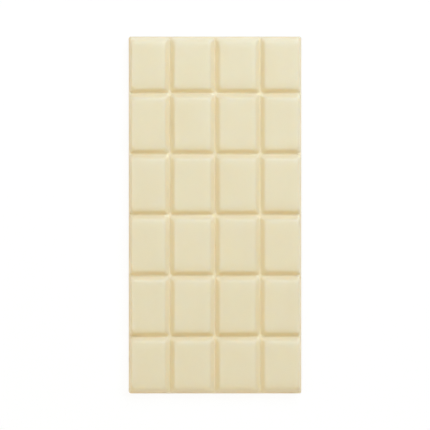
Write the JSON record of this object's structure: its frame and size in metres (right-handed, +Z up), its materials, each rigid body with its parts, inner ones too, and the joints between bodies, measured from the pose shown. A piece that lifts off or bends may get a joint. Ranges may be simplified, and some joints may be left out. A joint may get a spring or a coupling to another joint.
{
  "type": "chocolate bar",
  "caption": "Unwrapped white chocolate bar, a flat moulded slab whose raised rectangular segments snap apart along V-shaped grooves.",
  "frame": {"origin": "centre of the flat underside that the bar lies on", "axes": "+Z up through the raised segments, +Y along the bar's long side, +X across the bar"},
  "size_m": [0.077, 0.1592, 0.0072],
  "materials": {
    "white_chocolate": "satin"
  },
  "bodies": {
    "root": {"chocolate_bar": "white_chocolate"}
  },
  "joints": []
}
